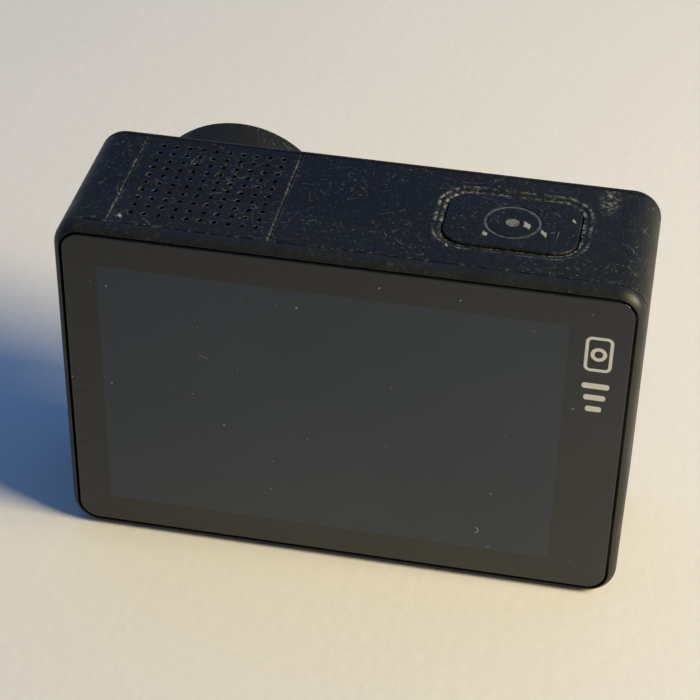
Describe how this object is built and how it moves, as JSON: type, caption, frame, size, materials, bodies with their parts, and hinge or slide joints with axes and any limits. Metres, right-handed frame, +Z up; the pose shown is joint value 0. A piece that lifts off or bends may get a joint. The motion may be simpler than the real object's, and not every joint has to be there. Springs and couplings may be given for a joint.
{
  "type": "action camera",
  "caption": "Compact action camera with a rear touch screen, a round lens ring in front, a shutter button and speaker grille on top, a battery door below and a port cover at the side.",
  "frame": {"origin": "middle of the footprint, lens ring included, on the plane of the underside", "axes": "+Z up; the lens looks along -Y and the screen faces +Y; +X is to the right of someone facing the lens"},
  "size_m": [0.0624, 0.0288, 0.0414],
  "materials": {
    "housing": "soft-touch matte, navy black",
    "bezel": "satin",
    "grip": "matte",
    "screen_glass": "polished cover glass",
    "print_black": "screen printed",
    "print_white": "screen printed",
    "adhesive": "foam tape",
    "display": "unlit panel",
    "sheet_steel": "stamped",
    "steel": "ground",
    "frame_metal": "die cast",
    "flex": "polyimide film",
    "light_pipe": "clear",
    "pad": "soft silicone",
    "circuit_board": "solder mask",
    "chip": "moulded epoxy",
    "inner_plastic": "moulded",
    "battery_case": "wrapped in a plain sleeve",
    "gold": "plated",
    "brass": "turned",
    "seal": "silicone",
    "lens_black": "black anodised",
    "lens_glass": "coated optical glass",
    "filter_glass": "coated",
    "ring_plastic": "satin black",
    "icon_grey": "pad printed",
    "mesh": "woven"
  },
  "bodies": {
    "camera_body": {"main_housing": "housing", "rear_bezel": "bezel", "front_cover": "housing", "grip_panel": "grip", "touch_glass": "screen_glass", "glass_mask": "print_black", "rear_emblem": "print_white", "glass_adhesive": "adhesive", "lcd_panel": "display", "lcd_tray": "sheet_steel", "lcd_flex": "flex", "rear_light_pipes": "light_pipe", "mid_frame": "frame_metal", "frame_screws": "steel", "thermal_pad": "pad", "main_board": "circuit_board", "processor": "chip", "emi_shield": "sheet_steel", "memory_chips": "chip", "microsd_slot": "sheet_steel", "usb_c_port": "sheet_steel", "battery_bay": "inner_plastic", "battery": "battery_case", "battery_contacts": "gold", "status_window": "print_black", "status_display": "display", "front_light_pipe": "light_pipe", "microphone": "gold", "lens_collar": "ring_plastic", "lens_gasket": "seal", "lens_baffle": "inner_plastic", "lens_barrel": "lens_black", "front_element": "lens_glass", "lens_elements": "lens_glass", "lens_holder": "inner_plastic", "infrared_filter": "filter_glass", "image_sensor": "chip", "sensor_board": "circuit_board", "sensor_flex": "flex", "speaker": "inner_plastic", "speaker_mesh": "mesh", "wifi_antenna": "gold", "button_bracket": "inner_plastic", "shutter_switch": "sheet_steel", "tripod_nut": "brass", "door_hinge_pin": "steel", "port_hinge_pin": "steel"},
    "lens_ring": {"lens_ring": "ring_plastic", "lens_window": "lens_glass"},
    "shutter_button": {"shutter_button": "housing", "button_icon": "icon_grey", "switch_plunger": "inner_plastic"},
    "battery_door": {"battery_door": "housing", "door_gasket": "seal"},
    "battery_latch": {"battery_latch": "bezel", "latch_keeper": "sheet_steel"},
    "port_cover": {"port_cover": "housing", "port_plug": "seal"}
  },
  "joints": [
    {"name": "lens_ring_turn", "type": "hinge", "parent": "camera_body", "child": "lens_ring", "pos_m": [0.0176, 0, 0.0274], "axis": [0, -1, 0], "range_deg": [0, 30]},
    {"name": "shutter_press", "type": "slide", "parent": "camera_body", "child": "shutter_button", "axis": [0, 0, -1], "range_m": [0, 0.00035], "stiffness_N_per_m": 4000, "springref_m": -0.0001},
    {"name": "battery_door_swing", "type": "hinge", "parent": "camera_body", "child": "battery_door", "pos_m": [0.0066, 0, 0.00075], "axis": [0, -1, 0], "range_deg": [0, 95]},
    {"name": "latch_slide", "type": "slide", "parent": "battery_door", "child": "battery_latch", "axis": [1, 0, 0], "range_m": [0, 0.0018], "stiffness_N_per_m": 200, "springref_m": -0.001},
    {"name": "port_cover_swing", "type": "hinge", "parent": "camera_body", "child": "port_cover", "pos_m": [0.0305, 0.0105, 0.015], "axis": [0, 0, 1], "range_deg": [0, 95]}
  ]
}
